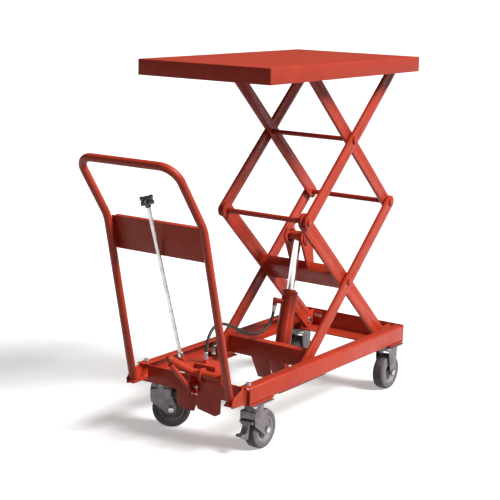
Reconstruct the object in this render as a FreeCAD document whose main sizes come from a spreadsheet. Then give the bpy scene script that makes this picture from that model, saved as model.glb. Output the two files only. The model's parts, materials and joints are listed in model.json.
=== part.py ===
"""Double scissor hydraulic lift table on casters, raised part way.

Frame: +Z up, +X away from the push handle, +Y to the left of someone pushing.
The origin is the middle of the footprint, on the floor.  All lengths are in
millimetres and all angles in degrees.
"""
import FreeCAD, Part
import math
import os
import Sketcher

VECTOR = FreeCAD.Vector
X_AXIS = VECTOR(1, 0, 0)
Y_AXIS = VECTOR(0, 1, 0)
Z_AXIS = VECTOR(0, 0, 1)

# Driving dimensions.  Every cell of the sheet is one of these.
DIMENSIONS = {
    # platform
    "deck_length": 905, "deck_width": 500, "deck_depth": 50, "deck_sheet": 3,
    "deck_near_x": -290, "deck_pivot_drop": 26.5,
    # scissor arms
    "arm_pitch": 719, "rest_angle": 42.4, "pivot_x": 593.3, "base_pivot_z": 196.5,
    "outer_arm_y": 169.5, "inner_arm_y": 153.5, "arm_plate": 10,
    "arm_width": 45, "lower_inner_width": 54,
    "pin_radius": 9, "shaft_radius": 8, "running_gap": 0.06, "open_pivot_gap": 0.35,
    "head_radius": 13, "head_thickness": 4,
    # base frame
    "rail_near_x": -311, "rail_far_x": 648, "rail_bottom_z": 168, "rail_depth": 58,
    "rail_wall": 3, "rail_outer_y": 219, "rail_flange": 35, "base_sheet": 4,
    "roller_radius": 25, "guide_roller_radius": 20, "roller_width": 22,
    # casters
    "wheel_radius": 63.5, "wheel_width": 42, "hub_radius": 43, "caster_y": 185,
    "near_caster_x": -238, "far_caster_x": 593, "trail": 35,
    "left_swivel": -55,
    # handle
    "handle_radius": 12.5, "handle_wall": 2, "foot_x": -373, "foot_y": 190,
    "foot_z": 188.4, "knee_x": -509, "knee_y": 182, "knee_z": 738,
    "grip_x": -644, "grip_y": 180, "grip_z": 931, "knee_bend": 120, "grip_bend": 55,
    # lift cylinder, in the frames of the arms that carry it
    "cylinder_foot_along": 56.9, "cylinder_foot_drop": 112.6,
    "rod_eye_back": 140.0, "rod_eye_rise": 66.4, "eye_window": 23, "eye_washer": 25.5, "lever_y": 32,
    "barrel_radius": 27, "barrel_bore": 24, "barrel_length": 250, "rod_radius": 14,
    # pedal and release
    "pedal_shaft_x": -318, "pedal_shaft_z": 238, "pedal_tube": 12.5,
    "rod_low_x": -320, "rod_low_y": 42.5, "rod_low_z": 282,
    "rod_top_x": -561, "rod_top_y": -14.7, "rod_top_z": 808,
    "hose_radius": 5,
}

document = FreeCAD.newDocument("lift_table")
sheet = document.addObject("Spreadsheet::Sheet", "Dims")
for row, (alias, amount) in enumerate(DIMENSIONS.items(), start=1):
    sheet.set("A%d" % row, alias)
    sheet.set("B%d" % row, str(amount))
    sheet.setAlias("B%d" % row, alias)
document.recompute()


def dim(alias):
    """The number in one cell of the sheet."""
    return float(sheet.get(alias))


def d(alias):
    """The same cell, as text for an expression."""
    return "Dims." + alias


# Points of the linkage, as expressions of the driving dimensions.
RUN = "Dims.arm_pitch * cos(Dims.rest_angle)"
RISE = "Dims.arm_pitch * sin(Dims.rest_angle)"
PIVOT_X = d("pivot_x")
FOOT_X = "(Dims.pivot_x - %s)" % RUN
CENTRE_X = "(Dims.pivot_x - %s / 2)" % RUN
BASE_Z = d("base_pivot_z")
LOWER_CENTRE_Z = "(Dims.base_pivot_z + %s / 2)" % RISE
MID_Z = "(Dims.base_pivot_z + %s)" % RISE
UPPER_CENTRE_Z = "(Dims.base_pivot_z + 1.5 * %s)" % RISE
TOP_Z = "(Dims.base_pivot_z + 2 * %s)" % RISE
DECK_TOP = "(%s + Dims.deck_pivot_drop)" % TOP_Z
DECK_BOTTOM = "(%s - Dims.deck_depth)" % DECK_TOP
DECK_UNDER = "(%s - Dims.deck_sheet)" % DECK_TOP
DECK_FAR = "(Dims.deck_near_x + Dims.deck_length)"
RAIL_TOP = "(Dims.rail_bottom_z + Dims.rail_depth)"
INNER_FACE = "(Dims.inner_arm_y - Dims.arm_plate / 2)"
OUTER_FACE = "(Dims.outer_arm_y + Dims.arm_plate / 2)"
HALF_PITCH = "(Dims.arm_pitch / 2)"
FRAME_EDGE = d("rail_outer_y")

scratch_count = 0
NODES = []


def scratch(kind, stem):
    """A new document object with a name of its own."""
    global scratch_count
    scratch_count += 1
    return document.addObject(kind, "%s_%d" % (stem, scratch_count))


def bind(thing, prop, expression):
    thing.setExpression(prop, str(expression))


def move(thing, x=0, y=0, z=0):
    """Ties the object's place to expressions."""
    for letter, expression in zip("xyz", (x, y, z)):
        bind(thing, "Placement.Base." + letter, expression)


def turn(thing, axis, angle):
    """Turns the object about an axis by an expression in degrees."""
    thing.Placement = FreeCAD.Placement(VECTOR(), FreeCAD.Rotation(axis, 1))
    bind(thing, "Placement.Rotation.Angle", angle)


def box(x, y, z):
    """A block between pairs of expressions along each axis."""
    thing = scratch("Part::Box", "block")
    for prop, (low, high) in zip(("Length", "Width", "Height"), (x, y, z)):
        bind(thing, prop, "(%s) - (%s)" % (high, low))
    move(thing, x[0], y[0], z[0])
    return thing


TURNS = {"X": (Y_AXIS, 90), "Y": (X_AXIS, -90), "Z": (Z_AXIS, 0)}


def rod(axis, radius, centre, span):
    """A round bar along one axis.  centre holds the two other coordinates."""
    thing = scratch("Part::Cylinder", "round")
    bind(thing, "Radius", radius)
    bind(thing, "Height", "(%s) - (%s)" % (span[1], span[0]))
    about, angle = TURNS[axis]
    thing.Placement = FreeCAD.Placement(VECTOR(), FreeCAD.Rotation(about, angle))
    place = list(centre)
    place.insert("XYZ".index(axis), span[0])
    move(thing, *place)
    return thing


def strut(radius, start, end, reach=0):
    """A round bar between two points given as numbers."""
    thing = scratch("Part::Cylinder", "strut")
    run = VECTOR(*end) - VECTOR(*start)
    bind(thing, "Radius", radius)
    thing.Height = run.Length + reach
    thing.Placement = FreeCAD.Placement(VECTOR(*start), FreeCAD.Rotation(Z_AXIS, run))
    return thing


def fuse(*things):
    """One shape, or a group of separate solids, from several."""
    if len(things) == 1:
        return things[0]
    joined = scratch("Part::MultiFuse", "joined")
    joined.Shapes = list(things)
    joined.Refine = True
    return joined


def cut(base, *tools):
    thing = scratch("Part::Cut", "cut")
    thing.Base = base
    thing.Tool = fuse(*tools)
    return thing


def mirror(thing):
    """The same shape on the other side of the middle plane."""
    other = scratch("Part::Mirroring", "mirrored")
    other.Source = thing
    other.Normal = Y_AXIS
    return other


def both_sides(thing):
    return fuse(thing, mirror(thing))


PLANES = {"XZ": "XZ_Plane", "YZ": "YZ_Plane", "XY": "XY_Plane"}


def plate(plane, outline, holes=(), span=(0, 1), rounds=None):
    """A padded profile.

    outline is a list of corner points and holes a list of (u, v, radius), all
    expressions in the plane's own two axes.  span is the stretch across the
    plane.  rounds maps a corner's number to the radius of its round.
    """
    body = scratch("PartDesign::Body", "body")
    role = PLANES[plane]
    base_plane = [item for item in body.Origin.OriginFeatures if item.Role == role][0]
    sketch = body.newObject("Sketcher::SketchObject", "sketch_%d" % scratch_count)
    sketch.AttachmentSupport = [(base_plane, "")]
    sketch.MapMode = "FlatFace"
    corners = [(evaluate(u), evaluate(v)) for u, v in outline]
    count = len(corners)
    for index in range(count):
        start = VECTOR(*corners[index], 0)
        end = VECTOR(*corners[(index + 1) % count], 0)
        sketch.addGeometry(Part.LineSegment(start, end), False)
    constraints = Sketcher.Constraint
    for index in range(count):
        follower = (index + 1) % count
        sketch.addConstraint(constraints("Coincident", index, 2, follower, 1))
    for index, (u, v) in enumerate(outline):
        fix(sketch, "DistanceX", index, 1, corners[index][0], u)
        fix(sketch, "DistanceY", index, 1, corners[index][1], v)
    for number, (u, v, radius) in enumerate(holes):
        geometry = count + number
        centre = VECTOR(evaluate(u), evaluate(v), 0)
        sketch.addGeometry(Part.Circle(centre, Z_AXIS, evaluate(radius)), False)
        fix(sketch, "DistanceX", geometry, 3, centre.x, u)
        fix(sketch, "DistanceY", geometry, 3, centre.y, v)
        size = sketch.addConstraint(constraints("Radius", geometry, evaluate(radius)))
        sketch.setExpression("Constraints[%d]" % size, str(radius))
    pad = body.newObject("PartDesign::Pad", "pad_%d" % scratch_count)
    pad.Profile = sketch
    pad.Midplane = True
    bind(pad, "Length", "(%s) - (%s)" % (span[1], span[0]))
    document.recompute()
    if rounds:
        add_rounds(body, pad, corners, plane, rounds)
    middle = "((%s) + (%s)) / 2" % (span[0], span[1])
    offset = {"XZ": (0, middle, 0), "YZ": (middle, 0, 0), "XY": (0, 0, middle)}[plane]
    move(body, *offset)
    return body


def fix(sketch, kind, geometry, point, amount, expression):
    """Pins one coordinate of a sketch point to an expression."""
    number = sketch.addConstraint(Sketcher.Constraint(kind, -1, 1, geometry, point, amount))
    sketch.setExpression("Constraints[%d]" % number, str(expression))


def evaluate(expression):
    """The value of an expression, as a plain number."""
    amount = sheet.evalExpression(str(expression))
    return float(getattr(amount, "Value", amount))


def add_rounds(body, pad, corners, plane, rounds):
    """Rounds the padded edges that stand on the chosen corners."""
    axes = {"XZ": (0, 2), "YZ": (1, 2), "XY": (0, 1)}[plane]
    previous = pad
    for radius in sorted(set(rounds.values()), key=str):
        wanted = [corners[index] for index, size in rounds.items() if size == radius]
        names = []
        for number, edge in enumerate(previous.Shape.Edges, start=1):
            ends = [vertex.Point for vertex in edge.Vertexes]
            if len(ends) != 2:
                continue
            flat = [(end[axes[0]], end[axes[1]]) for end in ends]
            if math.dist(flat[0], flat[1]) > 1e-6:
                continue
            if any(math.dist(flat[0], corner) < 1e-4 for corner in wanted):
                names.append("Edge%d" % number)
        fillet = body.newObject("PartDesign::Fillet", "round_%d" % scratch_count)
        fillet.Base = (previous, names)
        bind(fillet, "Radius", radius)
        document.recompute()
        previous = fillet
    body.Tip = previous


def node(label, thing):
    """Names a finished sub-part."""
    thing.Label = label
    NODES.append(thing)
    return thing


def carried(label, thing, x, z, angle):
    """A sub-part drawn along an arm, turned and moved to where the arm is."""
    group = scratch("Part::Compound", "carried")
    group.Links = [thing]
    turn(group, Y_AXIS, angle)
    move(group, x, 0, z)
    return node(label, group)


# ---------------------------------------------------------------- platform
def platform():
    half = "Dims.deck_width / 2"
    outer = scratch("Part::Box", "deck_outer")
    bind(outer, "Length", d("deck_length"))
    bind(outer, "Width", d("deck_width"))
    bind(outer, "Height", d("deck_depth"))
    move(outer, d("deck_near_x"), "-" + half, DECK_BOTTOM)
    document.recompute()
    soft = scratch("Part::Fillet", "deck_rounded")
    soft.Base = outer
    soft.Edges = [(number, 3.0, 3.0) for number, edge in enumerate(outer.Shape.Edges, start=1)
                  if edge.BoundBox.ZMax > outer.Shape.BoundBox.ZMax - 1e-6]
    hollow = box(("Dims.deck_near_x + Dims.deck_sheet", DECK_FAR + " - Dims.deck_sheet"),
                 ("-%s + Dims.deck_sheet" % half, "%s - Dims.deck_sheet" % half),
                 (DECK_BOTTOM + " - 1", DECK_UNDER))
    node("deck_pan", cut(soft, hollow))
    inner, outer_y, wall = "182", "218", "3"
    web = "%s - %s" % (outer_y, wall)
    profile = [(inner, DECK_BOTTOM), (outer_y, DECK_BOTTOM), (outer_y, DECK_UNDER),
               (inner, DECK_UNDER), (inner, DECK_UNDER + " - " + wall),
               (web, DECK_UNDER + " - " + wall), (web, DECK_BOTTOM + " + " + wall),
               (inner, DECK_BOTTOM + " + " + wall)]
    channel = plate("YZ", profile, span=("Dims.deck_near_x + 8", DECK_FAR + " - 8"))
    hole = rod("Y", d("pin_radius"), (PIVOT_X, TOP_Z), ("200", "230"))
    node("deck_guide_channels", both_sides(cut(channel, hole)))
    shank = rod("Y", d("pin_radius"), (PIVOT_X, TOP_Z), ("160.5", "222"))
    inner_head = rod("Y", "12", (PIVOT_X, TOP_Z), ("160.5", "163.5"))
    outer_head = rod("Y", d("head_radius"), (PIVOT_X, TOP_Z), ("218", "222"))
    node("deck_pivot_pins", both_sides(fuse(shank, inner_head, outer_head)))


# ------------------------------------------------------------ scissor arms
def arm_bar(y_centre, width, holes, nose=None):
    """Flat bars with round ends and cross holes, along their own X.

    nose narrows the +X end to the given radius, where it has to turn close to
    the rim of the platform.
    """
    low = "%s - Dims.arm_plate / 2" % y_centre
    high = "%s + Dims.arm_plate / 2" % y_centre
    shoulder = HALF_PITCH + " - 60" if nose else HALF_PITCH
    bar = box(("-" + HALF_PITCH, shoulder), (low, high), ("-%s / 2" % width, "%s / 2" % width))
    ends = [rod("Y", "%s / 2" % width, ("-" + HALF_PITCH, 0), (low, high)),
            rod("Y", nose or "%s / 2" % width, (HALF_PITCH, 0), (low, high))]
    if nose:
        taper = [(shoulder, "-%s / 2" % width), (HALF_PITCH, "-" + nose), (HALF_PITCH, nose),
                 (shoulder, "%s / 2" % width)]
        ends.append(plate("XZ", taper, span=(low, high)))
    drills = [rod("Y", radius, (x, 0), (low + " - 1", high + " + 1")) for x, radius in holes]
    return both_sides(cut(fuse(bar, *ends), *drills))


def cross_rod(radius, x, z, reach):
    """A rod right across the arms with a round head at each end."""
    bar = rod("Y", radius, (x, z), ("-(%s)" % reach, reach))
    head = rod("Y", d("head_radius"), (x, z), (reach, reach + " + Dims.head_thickness"))
    return fuse(bar, head, mirror(head))


def stub_pins(radius, x, z, start, reach, head_radius):
    """A short pin each side, with a head on its outer end."""
    bar = rod("Y", radius, (x, z), (start, reach))
    head = rod("Y", head_radius, (x, z), (reach, reach + " + Dims.head_thickness"))
    return both_sides(fuse(bar, head))


RUNNING = "Dims.pin_radius + Dims.running_gap"
SHAFT_RUNNING = "Dims.shaft_radius + Dims.running_gap"
OPEN_HOLE = "Dims.pin_radius + Dims.open_pivot_gap"
REACH = OUTER_FACE + " + 0.5"
RISING = "-Dims.rest_angle"
FALLING = "Dims.rest_angle"
LEVERS = ("Dims.lever_y", "-Dims.lever_y")


def lower_inner():
    """The inner pair of the lower stage: foot pinned at the far end."""
    here = (CENTRE_X, LOWER_CENTRE_Z, FALLING)
    arms = arm_bar(d("inner_arm_y"), d("lower_inner_width"),
                   [(HALF_PITCH, RUNNING), (0, d("pin_radius")),
                    ("-" + HALF_PITCH, d("pin_radius"))])
    carried("lower_inner_arms", arms, *here)
    edge = INNER_FACE
    web = box(("-55", "40"), ("-" + edge, edge), ("-12", "-7"))
    lips = [box((start, end), ("-" + edge, edge), ("-7", "22")) for start, end in
            (("-55", "-50"), ("35", "40"))]
    carried("lower_inner_beam", fuse(web, *lips), *here)
    eye_x, eye_z = "-Dims.rod_eye_back", d("rod_eye_rise")
    sides = []
    for centre in LEVERS:
        outline = [("-50", "-7"), ("10", "-7"), ("-Dims.rod_eye_back + 26", "Dims.rod_eye_rise + 24"),
                   ("-Dims.rod_eye_back - 4", "Dims.rod_eye_rise + 34"),
                   ("-Dims.rod_eye_back - 35", "Dims.rod_eye_rise + 8"),
                   ("-Dims.rod_eye_back - 29", "Dims.rod_eye_rise - 24")]
        span = (centre + " - 4", centre + " + 4")
        sides.append(plate("XZ", outline, [(eye_x, eye_z, d("eye_window"))], span, {2: "12", 3: "12", 4: "12"}))
    slots = [box(("-56", "-49.9"), (centre + " - 5", centre + " + 5"), ("-8", "23"))
             for centre in LEVERS]
    carried("cylinder_levers", cut(fuse(*sides), *slots), *here)
    carried("mid_left_rod", cross_rod(d("pin_radius"), "-" + HALF_PITCH, "0", REACH), *here)
    carried("lower_centre_pins", stub_pins(d("pin_radius"), "0", "0", INNER_FACE, REACH, "11.5"), *here)


def lower_outer():
    """The outer pair of the lower stage: rollers run in the base rails."""
    here = (CENTRE_X, LOWER_CENTRE_Z, RISING)
    foot = "-" + HALF_PITCH
    arms = arm_bar(d("outer_arm_y"), d("arm_width"),
                   [(foot, d("shaft_radius")), (0, RUNNING), (HALF_PITCH, d("pin_radius"))])
    carried("lower_outer_arms", arms, *here)
    carried("mid_right_rod", cross_rod(d("pin_radius"), HALF_PITCH, "0", REACH), *here)
    axle = rod("Y", d("shaft_radius"), (foot, 0), ("Dims.outer_arm_y - 8", "214"))
    collar = rod("Y", "12", (foot, 0), (OUTER_FACE, "189"))
    carried("lower_roller_axles", both_sides(fuse(axle, collar)), *here)
    tie_edge = "(Dims.outer_arm_y - Dims.arm_plate / 2)"
    web = box(("100", "105"), ("-" + tie_edge, tie_edge), ("181", "240"))
    flange = box(("105", "135"), ("-" + tie_edge, tie_edge), ("236", "240"))
    node("lower_outer_tie", fuse(web, flange))
    halves = []
    for low, high, ear_low, ear_high in (("2.5", "66", "33", "41"), ("-66", "-2.5", "-41", "-33")):
        front = plate("XZ", [("100", "181"), ("105", "181"), ("148", "100"), ("143", "100")],
                      span=(low, high))
        foot_x, foot_z = cylinder_foot()
        ear = plate("XZ", [("104", "181"), ("131", "181"), (foot_x + " + 14", foot_z + " + 21"),
                           (foot_x + " + 24", foot_z), (foot_x + " + 10", foot_z + " - 24"),
                           ("146", "104")],
                    [(foot_x, foot_z, d("pin_radius"))], (ear_low, ear_high),
                    {2: "10", 3: "10", 4: "10"})
        halves.append(fuse(front, ear))
    node("cylinder_foot_bracket", fuse(*halves))
    pin = rod("Y", d("pin_radius"), cylinder_foot(), ("-45", "45"))
    head = rod("Y", d("head_radius"), cylinder_foot(), ("41", "45"))
    node("cylinder_foot_pin", fuse(pin, head, mirror(head)))


def upper_outer():
    """The outer pair of the upper stage: pinned to the far end of the deck."""
    here = (CENTRE_X, UPPER_CENTRE_Z, RISING)
    arms = arm_bar(d("outer_arm_y"), d("arm_width"),
                   [("-" + HALF_PITCH, RUNNING), (0, d("shaft_radius")), (HALF_PITCH, RUNNING)],
                   nose="18")
    carried("upper_outer_arms", arms, *here)
    carried("upper_centre_shaft", cross_rod(d("shaft_radius"), "0", "0", REACH), *here)


def upper_inner():
    """The inner pair of the upper stage: rollers run under the deck."""
    here = (CENTRE_X, UPPER_CENTRE_Z, FALLING)
    top = "-" + HALF_PITCH
    arms = arm_bar(d("inner_arm_y"), d("arm_width"),
                   [(top, d("shaft_radius")), (0, SHAFT_RUNNING), (HALF_PITCH, OPEN_HOLE)])
    carried("upper_inner_arms", arms, *here)
    axle = rod("Y", d("shaft_radius"), (top, 0), ("Dims.inner_arm_y - 8", "211"))
    collar = rod("Y", "12", (top, 0), ("Dims.inner_arm_y + Dims.arm_plate / 2", "186"))
    carried("upper_roller_axles", both_sides(fuse(axle, collar)), *here)


def rollers():
    """A grooved roller on each roller axle."""
    for name, z, radius, start in (("lower", BASE_Z, d("roller_radius"), "189.5"),
                                   ("upper", TOP_Z, d("guide_roller_radius"), "186.5")):
        for side, sign in (("left", 1), ("right", -1)):
            low, high = start, "%s + Dims.roller_width" % start
            drum = rod("Y", radius, (FOOT_X, z), (low, high))
            bore = rod("Y", SHAFT_RUNNING, (FOOT_X, z), (low + " - 1", high + " + 1"))
            ring = cut(rod("Y", radius + " + 1", (FOOT_X, z), (low + " + 8", high + " - 8")),
                       rod("Y", radius + " - 2", (FOOT_X, z), (low + " + 7", high + " - 7")))
            shape = cut(drum, bore, ring)
            node("%s_%s_roller" % (name, side), shape if sign > 0 else mirror(shape))


# ---------------------------------------------------------- lift cylinder
def cylinder_foot():
    """Foot pin of the cylinder, as expressions for X and Z."""
    along, drop = "Dims.cylinder_foot_along", "Dims.cylinder_foot_drop"
    x = "(%s + %s * cos(Dims.rest_angle) + %s * sin(Dims.rest_angle))" % (FOOT_X, along, drop)
    z = "(%s + %s * sin(Dims.rest_angle) - %s * cos(Dims.rest_angle))" % (BASE_Z, along, drop)
    return x, z


def rod_eye():
    """Pin of the rod's eye, as expressions for X and Z."""
    back, rise = "Dims.rod_eye_back", "Dims.rod_eye_rise"
    x = "(%s - %s * cos(Dims.rest_angle) + %s * sin(Dims.rest_angle))" % (CENTRE_X, back, rise)
    z = "(%s + %s * sin(Dims.rest_angle) + %s * cos(Dims.rest_angle))" % (LOWER_CENTRE_Z, back, rise)
    return x, z


def on_cylinder(label, thing):
    """A sub-part drawn up its own Z, laid along the cylinder's line."""
    foot_x, foot_z = cylinder_foot()
    eye_x, eye_z = rod_eye()
    lean = "atan2(%s - %s; %s - %s)" % (eye_x, foot_x, eye_z, foot_z)
    group = scratch("Part::Compound", "carried")
    group.Links = [thing]
    turn(group, Y_AXIS, lean)
    move(group, foot_x, 0, foot_z)
    return node(label, group)


def lift_cylinder():
    foot_x, foot_z = cylinder_foot()
    eye_x, eye_z = rod_eye()
    reach = "sqrt(pow(%s - %s; 2) + pow(%s - %s; 2))" % (eye_x, foot_x, eye_z, foot_z)
    length = d("barrel_length")
    shell = rod("Z", d("barrel_radius"), (0, 0), ("22", length + " - 16"))
    eye = rod("Y", "22", (0, 0), ("-20", "20"))
    block = box(("-20", "20"), ("-20", "20"), ("0", "30"))
    bore = rod("Z", d("barrel_bore"), (0, 0), ("33", length + " + 1"))
    hole = rod("Y", RUNNING, (0, 0), ("-25", "25"))
    boss = strut("9", (-24, 8, 212), (-44, 30, 212))
    elbow = strut("8", (-41, 29, 196), (-41, 29, 222))
    on_cylinder("cylinder_barrel", fuse(cut(fuse(shell, eye, block), bore, hole), cut(fuse(boss, elbow),
                rod("Z", "Dims.barrel_radius - 0.5", (0, 0), ("150", "240")))))
    ring = rod("Z", d("barrel_radius"), (0, 0), (length + " - 16", length))
    lip = rod("Z", "20", (0, 0), (length, length + " + 5"))
    throat = rod("Z", "Dims.rod_radius + Dims.running_gap", (0, 0), ("200", "270"))
    on_cylinder("cylinder_gland", cut(fuse(ring, lip), throat))
    bar = rod("Z", d("rod_radius"), (0, 0), ("198.5", reach))
    piston = rod("Z", "Dims.barrel_bore - Dims.running_gap", (0, 0), ("198.5", "206.5"))
    head = rod("Y", "19", (0, reach), ("-22", "22"))
    drill = rod("Y", d("shaft_radius"), (0, reach), ("-25", "25"))
    on_cylinder("cylinder_rod", cut(fuse(bar, piston, head), drill))
    pin = rod("Y", d("shaft_radius"), (0, reach), ("-42", "42"))
    washer = rod("Y", d("eye_washer"), (0, reach), ("37", "40"))
    spacer = rod("Y", "13", (0, reach), ("22", "27"))
    on_cylinder("rod_end_pin", fuse(pin, washer, mirror(washer), spacer, mirror(spacer)))


# -------------------------------------------------------------- base frame
def base_frame():
    bottom = d("rail_bottom_z")
    wall = "Dims.rail_wall"
    edge = FRAME_EDGE
    inner = "(Dims.rail_outer_y - Dims.rail_flange)"
    web = "(Dims.rail_outer_y - Dims.rail_wall)"
    profile = [(inner, bottom), (edge, bottom), (edge, RAIL_TOP), (inner, RAIL_TOP),
               (inner, "%s - %s" % (RAIL_TOP, wall)), (web, "%s - %s" % (RAIL_TOP, wall)),
               (web, "%s + %s" % (bottom, wall)), (inner, "%s + %s" % (bottom, wall))]
    rail = plate("YZ", profile, span=(d("rail_near_x"), d("rail_far_x")),
                 rounds={1: "7", 2: "7", 5: "4", 6: "4"})
    node("base_rails", both_sides(rail))
    sheet_low = "(Dims.rail_bottom_z - Dims.base_sheet)"
    far = d("rail_far_x")
    angle_profile = [("560", sheet_low), (far + " + 4", sheet_low), (far + " + 4", "229"),
                     (far, "229"), (far, bottom), ("560", bottom)]
    node("rear_cross_member", plate("XZ", angle_profile, span=("-" + edge, edge)))
    ear = plate("XZ", [("562", bottom), (far, bottom), (far, "226"), ("612", "226"), ("575", "214"),
                       ("562", "200")], [(PIVOT_X, BASE_Z, d("pin_radius"))],
                ("161", "167"), {3: "8", 4: "8"})
    tab = box((far + " - 5", far), ("125", "161"), ("176", "222"))
    node("rear_pivot_brackets", both_sides(fuse(ear, tab)))
    pin = rod("Y", d("pin_radius"), (PIVOT_X, BASE_Z), ("144", "171"))
    inner_head = rod("Y", d("head_radius"), (PIVOT_X, BASE_Z), ("144", "148"))
    outer_head = rod("Y", d("head_radius"), (PIVOT_X, BASE_Z), ("167", "171"))
    node("rear_pivot_pins", both_sides(fuse(pin, inner_head, outer_head)))
    node("front_caster_sheet", box(("-306", "-176"), ("-" + edge, edge), (sheet_low, bottom)))
    tray = plate("XZ", [("-104", bottom), ("-104", "152"), ("172", "152"), ("200", bottom)],
                 span=("186", "190"))
    shelf = box(("-104", "172"), ("172", "190"), ("150", "153"))
    node("rail_gussets", both_sides(fuse(tray, shelf)))
    front_plate()


def front_plate():
    """The pressed plate at the handle end, with its deep middle and lugs."""
    outline = [("-182", "168"), ("-108", "168"), ("-106", "118"), ("-88", "107"), ("-20", "118"),
               ("-14", "132"), ("-8", "118"), ("-4", "106"), ("60", "114"), ("66", "168"),
               ("182", "168"), ("182", "223"), ("12", "223"), ("12", "162"), ("-18", "162"),
               ("-18", "223"), ("-182", "223")]
    panel = plate("YZ", outline, span=("-311", "-306"), rounds={3: "10", 7: "6", 8: "10"})
    lugs = []
    shaft = (d("pedal_shaft_x"), d("pedal_shaft_z"))
    for low, high in (("-128", "-120"), ("-46", "-38")):
        lugs.append(plate("XZ", [("-336", "224"), ("-311", "205"), ("-300", "205"), ("-300", "240"),
                                 ("-306", "256"), ("-330", "256"), ("-337", "246")],
                          [(shaft[0], shaft[1], "Dims.pedal_tube + Dims.running_gap")],
                          (low, high), {4: "6", 5: "6"}))
    node("front_plate", fuse(panel, *lugs))


def bolt(axis, centre, base, direction, radius, length):
    """A hexagon-headed bolt: head and shank on one line."""
    head = scratch("Part::Prism", "head")
    head.Polygon = 6
    head.Circumradius = radius * 1.75
    head.Height = radius * 1.3
    about, angle = TURNS[axis]
    flip = angle if direction > 0 else angle + 180
    if axis == "Z" and direction < 0:
        about, flip = X_AXIS, 180
    place = list(centre)
    place.insert("XYZ".index(axis), base)
    head.Placement = FreeCAD.Placement(VECTOR(*place), FreeCAD.Rotation(about, flip))
    shank = scratch("Part::Cylinder", "shank")
    shank.Radius = radius
    shank.Height = length
    place["XYZ".index(axis)] = base - direction * length
    shank.Placement = FreeCAD.Placement(VECTOR(*place), FreeCAD.Rotation(about, flip))
    return fuse(head, shank)


# ----------------------------------------------------------------- handle
def bent_path(points, radii):
    """Straight runs joined by tangent arcs of the given radii."""
    points = [VECTOR(*point) for point in points]
    edges = []
    start = points[0]
    for corner, after, radius in zip(points[1:-1], points[2:], radii):
        back = (start - corner).normalize()
        onward = (after - corner).normalize()
        half = back.getAngle(onward) / 2
        trim = radius / math.tan(half)
        bisector = (back + onward).normalize()
        centre = corner + bisector * (radius / math.sin(half))
        first = corner + back * trim
        last = corner + onward * trim
        middle = centre - bisector * radius
        edges.append(Part.LineSegment(start, first).toShape())
        edges.append(Part.Arc(first, middle, last).toShape())
        start = last
    edges.append(Part.LineSegment(start, points[-1]).toShape())
    return Part.Wire(edges)


def swept(wire, radius):
    """A round bar along a path."""
    start = wire.Edges[0].firstVertex().Point
    direction = wire.Edges[0].tangentAt(wire.Edges[0].FirstParameter)
    ring = Part.Wire(Part.Circle(start, direction, radius).toShape())
    return wire.makePipeShell([ring], True, False)


def feature(shape, stem):
    """Puts a made shape in the document."""
    thing = scratch("Part::Feature", stem)
    thing.Shape = shape
    thing.Placement = FreeCAD.Placement()
    return thing


def handle():
    foot = (dim("foot_x"), dim("foot_y"), dim("foot_z"))
    knee = (dim("knee_x"), dim("knee_y"), dim("knee_z"))
    grip = (dim("grip_x"), dim("grip_y"), dim("grip_z"))
    left = [foot, knee, grip]
    right = [(x, -y, z) for x, y, z in reversed(left)]
    bends = [dim("knee_bend"), dim("grip_bend"), dim("grip_bend"), dim("knee_bend")]
    path = bent_path(left + right, bends)
    outer = swept(path, dim("handle_radius"))
    inner = swept(path, dim("handle_radius") - dim("handle_wall"))
    node("handle_tube", feature(outer.cut(inner), "handle"))
    lean = math.degrees(math.atan2(foot[0] - knee[0], knee[2] - foot[2]))
    sheet_face = box(("-1.5", "1.5"), ("-178", "178"), ("-54", "54"))
    lips = [box(("-1.5", "13"), ("-167", "167"), pair) for pair in (("-54", "-51"), ("51", "54"))]
    panel = scratch("Part::Compound", "carried")
    panel.Links = [fuse(sheet_face, *lips)]
    panel.Placement = FreeCAD.Placement(VECTOR(-481.3, 0, 685), FreeCAD.Rotation(Y_AXIS, -lean))
    node("handle_panel", panel)
    side = plate("XZ", [("-386", "176"), ("-311", "172"), ("-311", "229"), ("-322", "229"),
                        ("-376", "207"), ("-388", "192")], span=("202.6", "207.6"),
                 rounds={4: "8", 5: "6"})
    base = box(("-388", "-318"), ("176", "202.6"), ("180", "185"))
    tab = box(("-326", "-280"), ("188", "214"), ("226", "229"))
    gap = rod("Z", "4.5", ("-297", "201"), ("220", "232"))
    node("handle_foot_brackets", both_sides(cut(fuse(side, base, tab), gap)))


def frame_bolts():
    """Bolts of the handle brackets and of the rear pivot brackets."""
    bolts = []
    for side in (1, -1):
        washer = rod("Z", "10", ("-297", str(201 * side)), ("229", "231"))
        bolts.append(fuse(washer, bolt("Z", (-297, 201 * side), 231, 1, 4.5, 5)))
        for y in (133, 151):
            head = scratch("Part::Cylinder", "bolt_head")
            head.Radius = 7
            head.Height = 5
            head.Placement = FreeCAD.Placement(VECTOR(638, y * side, 205),
                                               FreeCAD.Rotation(Y_AXIS, 90))
            bolts.append(head)
    node("frame_bolts", fuse(*bolts))


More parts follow.
